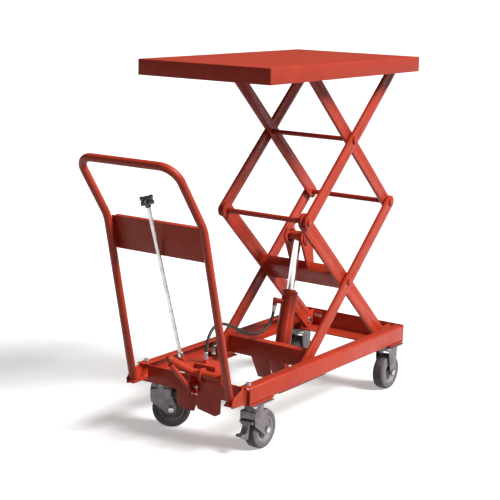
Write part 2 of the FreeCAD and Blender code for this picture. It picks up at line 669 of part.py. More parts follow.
# ------------------------------------------------------ pump, pedal, hose
def pump():
    main = box(("-270", "-205"), ("-55", "65"), ("168", "250"))
    nose = box(("-302", "-270"), ("28", "66"), ("224", "250"))
    low = VECTOR(dim("rod_low_x"), dim("rod_low_y"), dim("rod_low_z"))
    top = VECTOR(dim("rod_top_x"), dim("rod_top_y"), dim("rod_top_z"))
    line = (top - low).normalize()
    boss = strut("11", tuple(low - line * 44), tuple(low - line * 3))
    outlet = rod("Z", "9", ("-245", "0"), ("250", "256"))
    nut = rod("Z", "7", ("-245", "0"), ("256", "262"))
    bore = rod("X", "10.06", ("0", "178"), ("-271", "-212"))
    node("pump_block", cut(fuse(main, nose, boss, outlet, nut), bore))
    rod_bar = rod("Z", "6", (0, 0), ("0", str((top - low).Length - 2)))
    collar = rod("Z", "9.5", (0, 0), ("0", "16"))
    release = scratch("Part::Compound", "carried")
    release.Links = [fuse(rod_bar, collar)]
    release.Placement = FreeCAD.Placement(low, FreeCAD.Rotation(Z_AXIS, line))
    node("release_rod", release)
    core = rod("Z", "13", (0, 0), ("-2", "15"))
    stem = rod("Z", "9.5", (0, 0), ("-16", "-2"))
    lobes = [rod("Z", "8.5", (str(18 * math.cos(a)), str(18 * math.sin(a))), ("0", "12"))
             for a in (0, math.pi / 2, math.pi, 1.5 * math.pi)]
    socket = rod("Z", "6", (0, 0), ("-17", "-1"))
    knob = scratch("Part::Compound", "carried")
    knob.Links = [cut(fuse(core, stem, *lobes), socket)]
    knob.Placement = FreeCAD.Placement(top - line * 1, FreeCAD.Rotation(Z_AXIS, line))
    node("release_knob", knob)


def pedal():
    x, z = dim("pedal_shaft_x"), dim("pedal_shaft_z")
    shaft = rod("Y", d("pedal_tube"), (str(x), str(z)), ("-134", "12"))
    end = (x - 113, 0, z + 66)
    arm = strut(d("pedal_tube"), (x, 0, z), end)
    cap = scratch("Part::Sphere", "cap")
    bind(cap, "Radius", d("pedal_tube"))
    cap.Placement = FreeCAD.Placement(VECTOR(*end), FreeCAD.Rotation())
    crank = plate("XZ", [("-331", "170"), ("-313.4", "170"), ("-313.4", "238"), ("-331", "238")],
                  span=("-5", "5"), rounds={0: "5"})
    brace = strut("8", (x - 3, 0, z - 60), (end[0] + 6, 0, end[2] - 19))
    drive = rod("Y", "6", ("-322", "178"), ("-12", "5"))
    head = rod("Y", "9", ("-322", "178"), ("-17", "-12"))
    keep = box(("-460", "-313.4"), ("-20", "20"), ("150", "226"))
    brace = common(brace, fuse(keep, box(("-460", "-331"), ("-20", "20"), ("226", "330"))))
    node("pump_pedal", fuse(shaft, arm, cap, crank, brace, drive, head))
    node("pump_plunger", rod("X", "10", ("0", "178"), ("-313", "-240")))


def common(first, second):
    thing = scratch("Part::Common", "common")
    thing.Base = first
    thing.Tool = second
    return thing


def hose():
    """The pressure hose from the pump to the port near the barrel's top."""
    route = [(-245, 0, 262), (-245, 0, 302), (-225, 3, 339), (-187, 8.5, 359), (-136, 15, 354),
             (-75, 22, 330), (-10, 28.5, 299), (46, 32, 278), (94, 33, 266), (140, 31, 279),
             (170.5, 29, 306.9), (179.75, 29, 351.85)]
    points = [VECTOR(*point) for point in route]
    radii = []
    for before, corner, after in zip(points, points[1:], points[2:]):
        shorter = min((corner - before).Length, (after - corner).Length)
        turn_angle = (corner - before).getAngle(after - corner)
        radii.append(0.45 * shorter / math.tan(turn_angle / 2))
    wire = bent_path(route, radii)
    solid = swept(wire, dim("hose_radius"))
    expected = math.pi * dim("hose_radius") ** 2 * wire.Length
    print("hose radii", [round(radius, 1) for radius in radii])
    print("hose length", round(wire.Length, 1), "volume ratio", round(solid.Volume / expected, 4))
    node("hydraulic_hose", feature(solid, "hose"))


# ---------------------------------------------------------------- casters
def wheel(prefix, axle_x, axle_y, swing):
    """Tyre, hub and axle about an axle line turned by swing degrees."""
    half = "Dims.wheel_width / 2"
    tyre = cut(rod("Y", d("wheel_radius"), (0, 0), ("-" + half, half)),
               rod("Y", d("hub_radius"), (0, 0), ("-%s - 1" % half, half + " + 1")))
    rim = rod("Y", d("hub_radius"), (0, 0), ("-" + half, half))
    dish = rod("Y", "Dims.hub_radius - 7", (0, 0), (half + " - 9", half + " + 1"))
    barrel = rod("Y", "13", (0, 0), ("-%s - 2" % half, half + " + 2"))
    bore = rod("Y", "6.06", (0, 0), ("-30", "30"))
    hub = cut(fuse(cut(rim, dish, mirror(dish)), barrel), bore)
    for name, thing in (("tyre", tyre), ("hub", hub)):
        at_axle(prefix + "_" + name, thing, axle_x, axle_y, dim("wheel_radius"), swing)


def at_axle(label, thing, x, y, z, swing):
    group = scratch("Part::Compound", "carried")
    group.Links = [thing]
    group.Placement = FreeCAD.Placement(VECTOR(x, y, z), FreeCAD.Rotation(Z_AXIS, swing))
    return node(label, group)


def fork_side(front, low_y):
    """One cheek of a fork, drawn with the axle at the origin.

    front is how far the crown's middle is ahead of the axle, towards -X.
    """
    high_y = low_y + 4
    outline = [(-front - 34, 66), (-front + 34, 66), (-front + 34, 50), (17, 8), (15, -12),
               (-14, -14), (-24, -6), (-front - 31, 26), (-front - 34, 45)]
    text = [(str(u), str(v)) for u, v in outline]
    return plate("XZ", text, [("0", "0", "6")], (str(low_y), str(high_y)), {4: "9", 5: "9"})


def fork(front):
    """A pressed fork: two cheeks under a crown, with a closed front."""
    cheeks = both_sides(fork_side(front, 25))
    crown = box((str(-front - 34), str(-front + 34)), ("-29", "29"), ("66", "70"))
    wall = box((str(-front - 34), str(-front - 31)), ("-29", "29"), ("45", "66"))
    return fuse(cheeks, crown, wall)


def rigid_fork(plate_z):
    """Two straight cheeks and a collar under the top plate, open above the wheel."""
    outline = [("-34", plate_z), ("34", plate_z), ("26", "78"), ("26", "56"), ("15", "8"), ("13", "-12"),
               ("-13", "-12"), ("-15", "8"), ("-26", "56"), ("-26", "78")]
    cheek = plate("XZ", outline, [("0", "0", "6")], ("25", "29"), {5: "9", 6: "9"})
    collar = cut(box(("-28", "28"), ("-25", "25"), ("80", plate_z)),
                 box(("-24", "24"), ("-21", "21"), ("79", plate_z)))
    return fuse(both_sides(cheek), collar)


def axle_bolt():
    shank = rod("Y", "6", (0, 0), ("-33", "33"))
    head = scratch("Part::Prism", "axle_head")
    head.Polygon = 6
    head.Circumradius = 10.5
    head.Height = 5
    head.Placement = FreeCAD.Placement(VECTOR(0, 29, 0), FreeCAD.Rotation(X_AXIS, -90))
    return fuse(shank, head, mirror(head))


def casters():
    radius = dim("wheel_radius")
    near_x, far_x, side_y = dim("near_caster_x"), dim("far_caster_x"), dim("caster_y")
    trail = dim("trail")
    pads = []
    for side, y, swing in (("left", side_y, dim("left_swivel")), ("right", -side_y, 0.0)):
        pads.append(box((str(near_x - 50), str(near_x + 50)), (str(y - 42), str(y + 42)),
                        ("160", "164")))
        pads.append(rod("Z", "33", (str(near_x), str(y)), ("152", "160")))
        pads.append(rod("Z", "8", (str(near_x), str(y)), ("133", "152")))
        reach = trail * math.cos(math.radians(swing)), trail * math.sin(math.radians(swing))
        axle = (near_x + reach[0], y + reach[1])
        stem = "%s_caster" % side
        crown_hole = rod("Z", "8.06", (str(-trail), "0"), ("60", "90"))
        race = rod("Z", "30", (str(-trail), "0"), ("70", "88"))
        at_axle(stem + "_fork", cut(fuse(fork(trail), race), crown_hole), *axle, radius, swing)
        at_axle(stem + "_axle", axle_bolt(), *axle, radius, swing)
        wheel("front_%s" % side, *axle, swing)
        if side == "right":
            at_axle(stem + "_brake", brake_pedal(), *axle, radius, swing)
    node("swivel_caster_plates", fuse(*pads))
    forks, axles = [], []
    for side, y in (("left", side_y), ("right", -side_y)):
        top = box(("-50", "50"), ("-42", "42"), (str(164 - radius - 4), str(164 - radius)))
        for things, shape in ((forks, fuse(rigid_fork(str(160 - radius)), top)), (axles, axle_bolt())):
            group = scratch("Part::Compound", "carried")
            group.Links = [shape]
            group.Placement = FreeCAD.Placement(VECTOR(far_x, y, radius), FreeCAD.Rotation())
            things.append(group)
        wheel("rear_%s" % side, far_x, y, 0.0)
    node("rigid_caster_forks", fuse(*forks))
    node("rigid_caster_axles", fuse(*axles))


def brake_pedal():
    """A foot lever hung outside the fork, down in front of the tread."""
    hinge = rod("Y", "5", ("-74", "38"), ("-24.5", "24.5"))
    blade = plate("XZ", [("-79", "42"), ("-69", "42"), ("-69", "30"), ("-76", "14"), ("-77", "-4"),
                         ("-80", "-14"), ("-88", "-14"), ("-95", "-4"), ("-111", "-2"), ("-117", "3"),
                         ("-112", "8"), ("-92", "6"), ("-84", "16"), ("-80", "30")],
                  span=("-12", "12"))
    return fuse(hinge, blade)


platform()
lower_inner()
lower_outer()
upper_outer()
upper_inner()
rollers()
lift_cylinder()
base_frame()
handle()
frame_bolts()
pump()
pedal()
hose()
casters()
document.recompute()

for thing in document.Objects:
    if "Invalid" in thing.State or "Error" in thing.State:
        raise RuntimeError("%s (%s) failed: %s" % (thing.Name, thing.Label, thing.State))
for thing in NODES:
    if thing.Shape.isNull() or not thing.Shape.isValid():
        raise RuntimeError("%s has no valid shape" % thing.Label)

os.makedirs("parts", exist_ok=True)
for thing in NODES:
    thing.Shape.exportStep("parts/%s.step" % thing.Label)
print(len(NODES), "nodes")
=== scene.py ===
"""Looks of a double scissor hydraulic lift table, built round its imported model."""

import json
import math

import bmesh
import bpy
from mathutils import Matrix, Vector


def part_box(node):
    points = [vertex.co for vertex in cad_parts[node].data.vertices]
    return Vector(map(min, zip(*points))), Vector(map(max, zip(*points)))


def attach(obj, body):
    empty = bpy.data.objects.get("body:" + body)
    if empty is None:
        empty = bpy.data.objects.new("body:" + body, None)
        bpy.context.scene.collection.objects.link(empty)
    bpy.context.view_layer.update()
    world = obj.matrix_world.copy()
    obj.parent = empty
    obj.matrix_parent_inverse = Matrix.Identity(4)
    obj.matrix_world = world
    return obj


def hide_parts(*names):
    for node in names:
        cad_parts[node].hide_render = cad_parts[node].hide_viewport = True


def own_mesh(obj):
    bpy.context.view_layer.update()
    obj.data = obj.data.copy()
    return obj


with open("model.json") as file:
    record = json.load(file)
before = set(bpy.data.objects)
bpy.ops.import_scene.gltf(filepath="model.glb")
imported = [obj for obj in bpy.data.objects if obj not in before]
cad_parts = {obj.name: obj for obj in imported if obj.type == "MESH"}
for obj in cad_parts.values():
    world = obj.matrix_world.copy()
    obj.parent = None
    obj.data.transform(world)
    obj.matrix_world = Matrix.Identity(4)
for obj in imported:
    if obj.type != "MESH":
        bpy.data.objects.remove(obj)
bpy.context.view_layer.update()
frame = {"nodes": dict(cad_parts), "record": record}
BODY_OF = {name: body for body, names in frame["record"]["behaviour"]["bodies"].items()
           for name in names}

MM = 0.001


def linked(name, data):
    """A new object in the scene that carries this data."""
    made = bpy.data.objects.new(name, data)
    bpy.context.scene.collection.objects.link(made)
    return made


# ------------------------------------------------------------------ camera
LENS_MM = 96.47
SENSOR_MM = 36.0
FARTHEST_SEEN = 400.0
CAMERA_PLACE = Vector((-3.5136, -2.4420, 1.4647))
CAMERA_RIGHT = Vector((0.576385, -0.816833, 0.023788))
CAMERA_UP = Vector((0.152830, 0.136347, 0.978802))


def set_camera():
    """A camera beyond the handle, to its right, a little above the platform."""
    data = bpy.data.cameras.new("camera")
    data.lens = LENS_MM
    data.sensor_width = SENSOR_MM
    data.clip_end = FARTHEST_SEEN
    camera = linked("camera", data)
    backward = CAMERA_RIGHT.cross(CAMERA_UP)
    axes = Matrix((CAMERA_RIGHT, CAMERA_UP, backward)).transposed()
    camera.matrix_world = Matrix.Translation(CAMERA_PLACE) @ axes.to_4x4()
    bpy.context.scene.camera = camera


# --------------------------------------------------------------- materials
class Finish:
    """One procedural material, whose patterns follow Object coordinates."""

    def __init__(self, name, colour, roughness, metallic=0.0):
        self.material = bpy.data.materials.new(name)
        self.material.use_nodes = True
        self.tree = self.material.node_tree
        self.shader = self.tree.nodes["Principled BSDF"]
        self.shader.inputs["Base Color"].default_value = (*colour, 1.0)
        self.shader.inputs["Roughness"].default_value = roughness
        self.shader.inputs["Metallic"].default_value = metallic
        self.place = self.add("ShaderNodeTexCoord").outputs["Object"]

    def add(self, kind, **settings):
        made = self.tree.nodes.new(kind)
        for key, value in settings.items():
            setattr(made, key, value)
        return made

    def join(self, source, target):
        self.tree.links.new(source, target)

    def noise(self, scale, detail=3.0, rough=0.5, stretch=None):
        """A noise whose scale is in cycles per metre."""
        grain = self.add("ShaderNodeTexNoise")
        grain.inputs["Scale"].default_value = scale
        grain.inputs["Detail"].default_value = detail
        grain.inputs["Roughness"].default_value = rough
        source = self.place
        if stretch:
            mapping = self.add("ShaderNodeMapping")
            mapping.inputs["Scale"].default_value = stretch
            self.join(source, mapping.inputs["Vector"])
            source = mapping.outputs["Vector"]
        self.join(source, grain.inputs["Vector"])
        return grain.outputs["Fac"]

    def ramp(self, source, stops):
        """Turns a number into a colour through (position, colour) stops."""
        ramp = self.add("ShaderNodeValToRGB")
        points = ramp.color_ramp.elements
        while len(points) < len(stops):
            points.new(0.5)
        for point, (position, colour) in zip(points, stops):
            point.position = position
            point.color = (*colour, 1.0)
        self.join(source, ramp.inputs["Fac"])
        return ramp.outputs["Color"]

    def spread(self, source, low, high):
        """Maps 0.3 to 0.7 of a noise onto low to high."""
        mapped = self.add("ShaderNodeMapRange")
        mapped.inputs["From Min"].default_value = 0.3
        mapped.inputs["From Max"].default_value = 0.7
        mapped.inputs["To Min"].default_value = low
        mapped.inputs["To Max"].default_value = high
        self.join(source, mapped.inputs["Value"])
        return mapped.outputs["Result"]

    def colour(self, source):
        self.join(source, self.shader.inputs["Base Color"])

    def roughness(self, source):
        self.join(source, self.shader.inputs["Roughness"])

    def bump(self, source, height, strength):
        bump = self.add("ShaderNodeBump")
        bump.inputs["Strength"].default_value = strength
        bump.inputs["Distance"].default_value = height
        self.join(source, bump.inputs["Height"])
        self.join(bump.outputs["Normal"], self.shader.inputs["Normal"])

    def set(self, **values):
        """Sets the shader's own sockets, with _ for a space in a socket's name."""
        for key, value in values.items():
            self.shader.inputs[key.replace("_", " ")].default_value = value


def red_powder_coat():
    """Satin red stove enamel: cloudy tone, scuffs, and a fine orange peel."""
    f = Finish("red_powder_coat", (0.46, 0.050, 0.022), 0.42)
    cloud = f.noise(4.5, 4.0, 0.6)
    f.colour(f.ramp(cloud, [(0.30, (0.40, 0.034, 0.013)), (0.50, (0.46, 0.041, 0.017)),
                            (0.72, (0.52, 0.052, 0.023))]))
    f.roughness(f.spread(f.noise(22.0, 5.0, 0.65), 0.33, 0.52))
    f.bump(f.noise(620.0, 2.0), 0.0004, 0.22)
    f.set(Specular_IOR_Level=0.3)
    return f.material


def deck_top_coat():
    """The same enamel as the frame, dulled by loads that slide over it."""
    f = Finish("deck_top_coat", (0.44, 0.050, 0.024), 0.5)
    worn = f.noise(9.0, 6.0, 0.7, stretch=(1.0, 3.5, 1.0))
    f.colour(f.ramp(worn, [(0.28, (0.41, 0.037, 0.016)), (0.55, (0.45, 0.042, 0.018)),
                           (0.80, (0.49, 0.052, 0.025))]))
    f.roughness(f.spread(f.noise(40.0, 5.0, 0.7), 0.42, 0.62))
    f.bump(f.noise(520.0, 2.0), 0.0004, 0.2)
    f.set(Specular_IOR_Level=0.25)
    return f.material


def zinc_steel():
    """Bright zinc plate with a faint cloud and turning marks."""
    f = Finish("zinc_steel", (0.60, 0.59, 0.57), 0.3, 1.0)
    f.colour(f.ramp(f.noise(30.0, 3.0), [(0.3, (0.48, 0.47, 0.45)), (0.7, (0.68, 0.67, 0.66))]))
    f.roughness(f.spread(f.noise(140.0, 4.0), 0.24, 0.42))
    f.bump(f.noise(900.0, 2.0), 0.0001, 0.15)
    return f.material


def hard_chrome():
    """Ground and chromed rod, with the lightest oil haze."""
    f = Finish("hard_chrome", (0.80, 0.79, 0.78), 0.1, 1.0)
    f.roughness(f.spread(f.noise(18.0, 4.0, stretch=(1.0, 1.0, 0.3)), 0.06, 0.17))
    f.bump(f.noise(2200.0, 1.0), 0.00004, 0.1)
    return f.material


def caster_zinc():
    """Dull passivated pressing, a little mottled."""
    f = Finish("caster_zinc", (0.19, 0.17, 0.18), 0.42, 0.75)
    f.colour(f.ramp(f.noise(26.0, 5.0, 0.6), [(0.3, (0.13, 0.115, 0.125)), (0.7, (0.26, 0.235, 0.25))]))
    f.roughness(f.spread(f.noise(70.0, 4.0), 0.32, 0.55))
    f.bump(f.noise(500.0, 2.0), 0.0002, 0.2)
    return f.material


def grey_tyre():
    """Solid grey elastic rubber with dust along the tread."""
    f = Finish("grey_tyre", (0.155, 0.13, 0.145), 0.72)
    f.colour(f.ramp(f.noise(34.0, 6.0, 0.7), [(0.28, (0.10, 0.085, 0.094)), (0.55, (0.155, 0.13, 0.144)),
                                              (0.8, (0.22, 0.19, 0.20))]))
    f.roughness(f.spread(f.noise(120.0, 3.0), 0.6, 0.85))
    f.bump(f.noise(380.0, 4.0, 0.7), 0.0005, 0.35)
    f.set(Sheen_Weight=0.08)
    return f.material


def wheel_nylon():
    """Moulded grey nylon of the wheel centres."""
    f = Finish("wheel_nylon", (0.24, 0.21, 0.22), 0.5)
    f.colour(f.ramp(f.noise(40.0, 4.0), [(0.3, (0.19, 0.165, 0.175)), (0.7, (0.29, 0.26, 0.27))]))
    f.roughness(f.spread(f.noise(160.0, 3.0), 0.4, 0.6))
    f.bump(f.noise(650.0, 2.0), 0.0003, 0.2)
    return f.material


def knob_phenolic():
    """Black moulded knob with a low gloss."""
    f = Finish("knob_phenolic", (0.018, 0.017, 0.017), 0.33)
    f.roughness(f.spread(f.noise(120.0, 4.0), 0.26, 0.46))
    f.bump(f.noise(800.0, 2.0), 0.0002, 0.2)
    f.set(Coat_Weight=0.2)
    return f.material


def hose_cover():
    """Smooth black hose cover, a touch of wrap texture."""
    f = Finish("hose_cover", (0.02, 0.019, 0.02), 0.55)
    f.colour(f.ramp(f.noise(60.0, 4.0), [(0.3, (0.014, 0.013, 0.014)), (0.7, (0.032, 0.030, 0.031))]))
    f.roughness(f.spread(f.noise(160.0, 3.0), 0.45, 0.68))
    f.bump(f.noise(900.0, 3.0), 0.0003, 0.3)
    return f.material


FINISHES = {
    "red_paint": red_powder_coat(), "bright_steel": zinc_steel(), "caster_steel": caster_zinc(),
    "chrome_rod": hard_chrome(), "knob_plastic": knob_phenolic(), "hose_rubber": hose_cover(),
    "tyre_rubber": grey_tyre(), "hub_plastic": wheel_nylon(),
}
SLOT_OF = {part["node"]: part["material_slot"] for part in frame["record"]["subparts"]}


def coat(thing, finish):
    thing.data.materials.clear()
    thing.data.materials.append(finish)


# ------------------------------------------------------------ making pieces
# Angles in degrees: edges sharper than a crisp angle aren't smoothed over, those sharper than
# BROKEN_ANGLE are bevelled, and faces that are flat within FLAT_WITHIN are joined.
CRISP_ANGLE = 32.0
MOULDED_CRISP_ANGLE = 40.0
BROKEN_ANGLE = 38.0
FLAT_WITHIN = 0.4
# In metres.
MERGE_DISTANCE = 2e-6


def place_piece(name, mesh, finish, body, replaced=()):
    """Links a finished mesh, hangs it on the body it rides on, and hides the parts it stands for."""
    piece = linked(name, mesh)
    coat(piece, finish)
    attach(piece, body)
    if replaced:
        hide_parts(*replaced)
    return piece


def soften(mesh, angle=CRISP_ANGLE):
    """Smooth shading that stays crisp at edges sharper than the angle."""
    mesh.polygons.foreach_set("use_smooth", [True] * len(mesh.polygons))
    mesh.set_sharp_from_angle(angle=math.radians(angle))


def settled(worker):
    """The plain mesh that a working object comes to; the object itself goes."""
    seen = bpy.context.evaluated_depsgraph_get()
    made = bpy.data.meshes.new_from_object(worker.evaluated_get(seen))
    worker.modifiers.clear()
    bpy.data.objects.remove(worker)
    return made


def mesh_of(form, name, angle=CRISP_ANGLE):
    """The smoothed mesh of a finished bmesh, which is freed."""
    mesh = bpy.data.meshes.new(name)
    form.to_mesh(mesh)
    form.free()
    soften(mesh, angle)
    return mesh


def skinned(form, rings):
    """Walls from ring to ring, with both ends closed."""
    around = len(rings[0])
    for here, there in zip(rings, rings[1:]):
        for step in range(around):
            follower = (step + 1) % around
            form.faces.new((here[step], here[follower], there[follower], there[step]))
    form.faces.new(list(reversed(rings[0])))
    form.faces.new(rings[-1])
    bmesh.ops.recalc_face_normals(form, faces=form.faces)


def turn_onto(line):
    """Turns what is drawn along Z onto a line."""
    return Vector((0, 0, 1)).rotation_difference(line).to_matrix().to_4x4()


def dressed(node, break_edge=0.7, steps=2, finish=None, keep_flat=True):
    """A copy of the frame's part, smoothed, with its edges broken by break_edge mm.

    keep_flat first joins the small triangles of each flat face.
    """
    source = frame["nodes"][node]
    form = bmesh.new()
    form.from_mesh(source.data)
    bmesh.ops.remove_doubles(form, verts=form.verts, dist=MERGE_DISTANCE)
    if keep_flat:
        bmesh.ops.dissolve_limit(form, angle_limit=math.radians(FLAT_WITHIN), verts=form.verts,
                                 edges=form.edges, use_dissolve_boundaries=False)
    mesh = bpy.data.meshes.new(node + "_dressed")
    form.to_mesh(mesh)
    form.free()
    worker = linked("worker", mesh)
    bevel = worker.modifiers.new("broken_edges", "BEVEL")
    bevel.width = break_edge * MM
    bevel.segments = steps
    bevel.limit_method = "ANGLE"
    bevel.angle_limit = math.radians(BROKEN_ANGLE)
    bevel.use_clamp_overlap = False
    bevel.miter_outer = "MITER_SHARP"
    bevel.loop_slide = False
    made = settled(worker)
    made.name = node + "_dressed"
    soften(made)
    slot = SLOT_OF[node]
    return place_piece(node + "_dressed", made, finish or FINISHES[slot], BODY_OF[node], [node])


# Mostly sheet, bar and castings, whose edges are broken in two steps.
EDGED = ["deck_guide_channels", "base_rails", "rear_cross_member", "rear_pivot_brackets",
         "front_caster_sheet", "rail_gussets", "front_plate", "handle_panel", "handle_foot_brackets",
         "lower_inner_arms", "lower_outer_arms", "upper_inner_arms", "upper_outer_arms",
         "lower_inner_beam", "cylinder_levers", "lower_outer_tie", "cylinder_foot_bracket", "pump_block",
         "pump_pedal", "swivel_caster_plates", "rigid_caster_forks", "left_caster_fork",
         "right_caster_fork", "right_caster_brake", "cylinder_gland", "rigid_caster_axles",
         "left_caster_axle", "right_caster_axle"]
# Tube and turned work, which takes a smaller break in one step.
ROUND_WORK = ["handle_tube", "cylinder_barrel", "mid_left_rod", "mid_right_rod", "upper_centre_shaft",
              "lower_centre_pins", "rear_pivot_pins", "deck_pivot_pins", "cylinder_foot_pin",
              "release_rod", "lower_roller_axles", "upper_roller_axles"]
ROUND_BREAK = 0.4
DECK_BREAK = 0.5


def turned(profile, segments):
    """A ring turned about Z from a closed loop of (radius, height) points, in mm."""
    form = bmesh.new()
    rings = []
    for step in range(segments):
        angle = 2 * math.pi * step / segments
        rings.append([form.verts.new((r * MM * math.cos(angle), r * MM * math.sin(angle), z * MM))
                      for r, z in profile])
    count = len(profile)
    for step in range(segments):
        here, there = rings[step], rings[(step + 1) % segments]
        for index in range(count):
            follower = (index + 1) % count
            form.faces.new((here[index], there[index], there[follower], here[follower]))
    bmesh.ops.recalc_face_normals(form, faces=form.faces)
    return mesh_of(form, "turned")


def both_faces(half):
    """Mirrors an upper half profile to the other face of a wheel or ring."""
    return half + [(r, -z) for r, z in reversed(half)]


def merged(meshes):
    """One mesh from several."""
    form = bmesh.new()
    for mesh in meshes:
        form.from_mesh(mesh)
    return mesh_of(form, "merged")


# ------------------------------------------------- trees for what repeats
class Tree:
    """One geometry tree with named sizes."""

    def __init__(self, name, sizes):
        self.group = bpy.data.node_groups.new(name, "GeometryNodeTree")
        face = self.group.interface
        face.new_socket("Geometry", in_out="INPUT", socket_type="NodeSocketGeometry")
        for size, kind in sizes.items():
            face.new_socket(size, in_out="INPUT", socket_type="NodeSocket" + kind)
        face.new_socket("Geometry", in_out="OUTPUT", socket_type="NodeSocketGeometry")
        self.given = self.add("NodeGroupInput").outputs
        self.result = self.add("NodeGroupOutput").inputs["Geometry"]

    def add(self, kind, inputs=None, **settings):
        made = self.group.nodes.new(kind)
        for key, value in settings.items():
            setattr(made, key, value)
        for key, value in (inputs or {}).items():
            if isinstance(value, bpy.types.NodeSocket):
                self.group.links.new(value, made.inputs[key])
            else:
                made.inputs[key].default_value = value
        return made

    def maths(self, operation, first, second):
        return self.add("ShaderNodeMath", {0: first, 1: second}, operation=operation).outputs[0]

    def attribute(self, name, kind):
        found = self.add("GeometryNodeInputNamedAttribute", {"Name": name}, data_type=kind)
        return found.outputs["Attribute"]

    def along(self, axis, direction):
        turn = self.add("FunctionNodeAlignRotationToVector", {"Vector": direction}, axis=axis)
        return turn.outputs["Rotation"]

    def triple(self, x=0.0, y=0.0, z=0.0):
        return self.add("ShaderNodeCombineXYZ", {"X": x, "Y": y, "Z": z}).outputs["Vector"]

    def raised(self, geometry, height):
        moved = self.add("GeometryNodeTransform", {"Geometry": geometry,
                                                   "Translation": self.triple(z=height)})
        return moved.outputs["Geometry"]

    def together(self, *parts):
        joined = self.add("GeometryNodeJoinGeometry")
        for part in parts:
            self.group.links.new(part, joined.inputs["Geometry"])
        return joined.outputs["Geometry"]

    def finish(self, instances, kept=None):
        """Ends the tree in real, coated geometry."""
        real = self.add("GeometryNodeRealizeInstances", {"Geometry": instances}).outputs["Geometry"]
        if kept is not None:
            real = self.together(kept, real)
        coated = self.add("GeometryNodeSetMaterial", {"Geometry": real, "Material": self.given["Coat"]})
        self.group.links.new(coated.outputs["Geometry"], self.result)
        return self.group


def grown(mesh, tree, **sizes):
    """Runs a tree on a mesh and returns the plain mesh it makes."""
    worker = linked("worker", mesh)
    modifier = worker.modifiers.new("tree", "NODES")
    modifier.node_group = tree
    for item in tree.interface.items_tree:
        if item.item_type == "SOCKET" and item.in_out == "INPUT" and item.name in sizes:
            modifier[item.identifier] = sizes[item.name]
    made = settled(worker)
    soften(made)
    return made


# The foot and top of a bolt head's chamfer as shares of the head's radius, and its height
# as a share of the head's.
CHAMFER_FOOT, CHAMFER_TOP, CHAMFER_HEIGHT = 0.86, 0.70, 0.14
# A weld ripple's least and greatest share of the bead's width, and its length in pitches.
RIPPLE_LEAST, RIPPLE_MOST, RIPPLE_LENGTH = 0.86, 1.12, 1.25


def bolt_tree():
    """Hexagon heads with a chamfer, on round washers."""
    t = Tree("hexagon_bolts", {"Head radius": "Float", "Head height": "Float", "Washer radius": "Float",
                               "Washer thickness": "Float", "Coat": "Material"})
    g = t.given
    washer = t.add("GeometryNodeMeshCylinder", {"Vertices": 32, "Radius": g["Washer radius"],
                                                "Depth": g["Washer thickness"]}).outputs["Mesh"]
    washer = t.raised(washer, t.maths("MULTIPLY", g["Washer thickness"], 0.5))
    head = t.add("GeometryNodeMeshCylinder", {"Vertices": 6, "Radius": g["Head radius"],
                                              "Depth": g["Head height"]}).outputs["Mesh"]
    top = t.maths("ADD", g["Washer thickness"], g["Head height"])
    head = t.raised(head, t.maths("SUBTRACT", top, t.maths("MULTIPLY", g["Head height"], 0.5)))
    chamfer = t.add("GeometryNodeMeshCone", {
        "Vertices": 24, "Radius Bottom": t.maths("MULTIPLY", g["Head radius"], CHAMFER_FOOT),
        "Radius Top": t.maths("MULTIPLY", g["Head radius"], CHAMFER_TOP),
        "Depth": t.maths("MULTIPLY", g["Head height"], CHAMFER_HEIGHT)}).outputs["Mesh"]
    chamfer = t.raised(chamfer, top)
    spots = t.add("GeometryNodeInstanceOnPoints", {
        "Points": g["Geometry"], "Instance": t.together(washer, head, chamfer),
        "Rotation": t.along("Z", t.attribute("facing", "FLOAT_VECTOR")),
        "Scale": t.attribute("size", "FLOAT")})
    return t.finish(spots.outputs["Instances"])


def weld_tree():
    """A bead of overlapping ripples along every line it is given."""
    t = Tree("weld_beads", {"Bead radius": "Float", "Ripple pitch": "Float", "Seed": "Int",
                            "Coat": "Material"})
    g = t.given
    line = t.add("GeometryNodeMeshToCurve", {"Mesh": g["Geometry"]}).outputs["Curve"]
    even = t.add("GeometryNodeResampleCurve", {"Curve": line, "Length": g["Ripple pitch"]}, mode="LENGTH")
    drop = t.add("GeometryNodeMeshUVSphere", {"Segments": 10, "Rings": 6, "Radius": 1.0}).outputs["Mesh"]
    vary = t.add("FunctionNodeRandomValue", {"Min": RIPPLE_LEAST, "Max": RIPPLE_MOST, "Seed": g["Seed"]},
                 data_type="FLOAT")
    width = t.maths("MULTIPLY", g["Bead radius"], first_socket(vary.outputs))
    size = t.triple(t.maths("MULTIPLY", g["Ripple pitch"], RIPPLE_LENGTH), width, width)
    spots = t.add("GeometryNodeInstanceOnPoints", {
        "Points": even.outputs["Curve"], "Instance": drop,
        "Rotation": t.along("X", t.add("GeometryNodeInputTangent").outputs["Tangent"]), "Scale": size})
    return t.finish(spots.outputs["Instances"])


def first_socket(sockets):
    """The one socket of a random value node that is in use."""
    return [socket for socket in sockets if socket.enabled][0]


def rib_tree():
    """Straight ribs between the barrel and the rim of a wheel centre."""
    t = Tree("wheel_ribs", {"Ribs": "Int", "Middle radius": "Float", "Rib length": "Float",
                            "Rib thickness": "Float", "Rib depth": "Float", "Coat": "Material"})
    g = t.given
    ring = t.add("GeometryNodeMeshCircle", {"Vertices": g["Ribs"], "Radius": g["Middle radius"]})
    rib = t.add("GeometryNodeMeshCube", {"Size": t.triple(g["Rib length"], g["Rib thickness"],
                                                           g["Rib depth"])})
    spots = t.add("GeometryNodeInstanceOnPoints", {
        "Points": ring.outputs["Mesh"], "Instance": rib.outputs["Mesh"],
        "Rotation": t.along("X", t.add("GeometryNodeInputPosition").outputs["Position"])})
    return t.finish(spots.outputs["Instances"], kept=g["Geometry"])


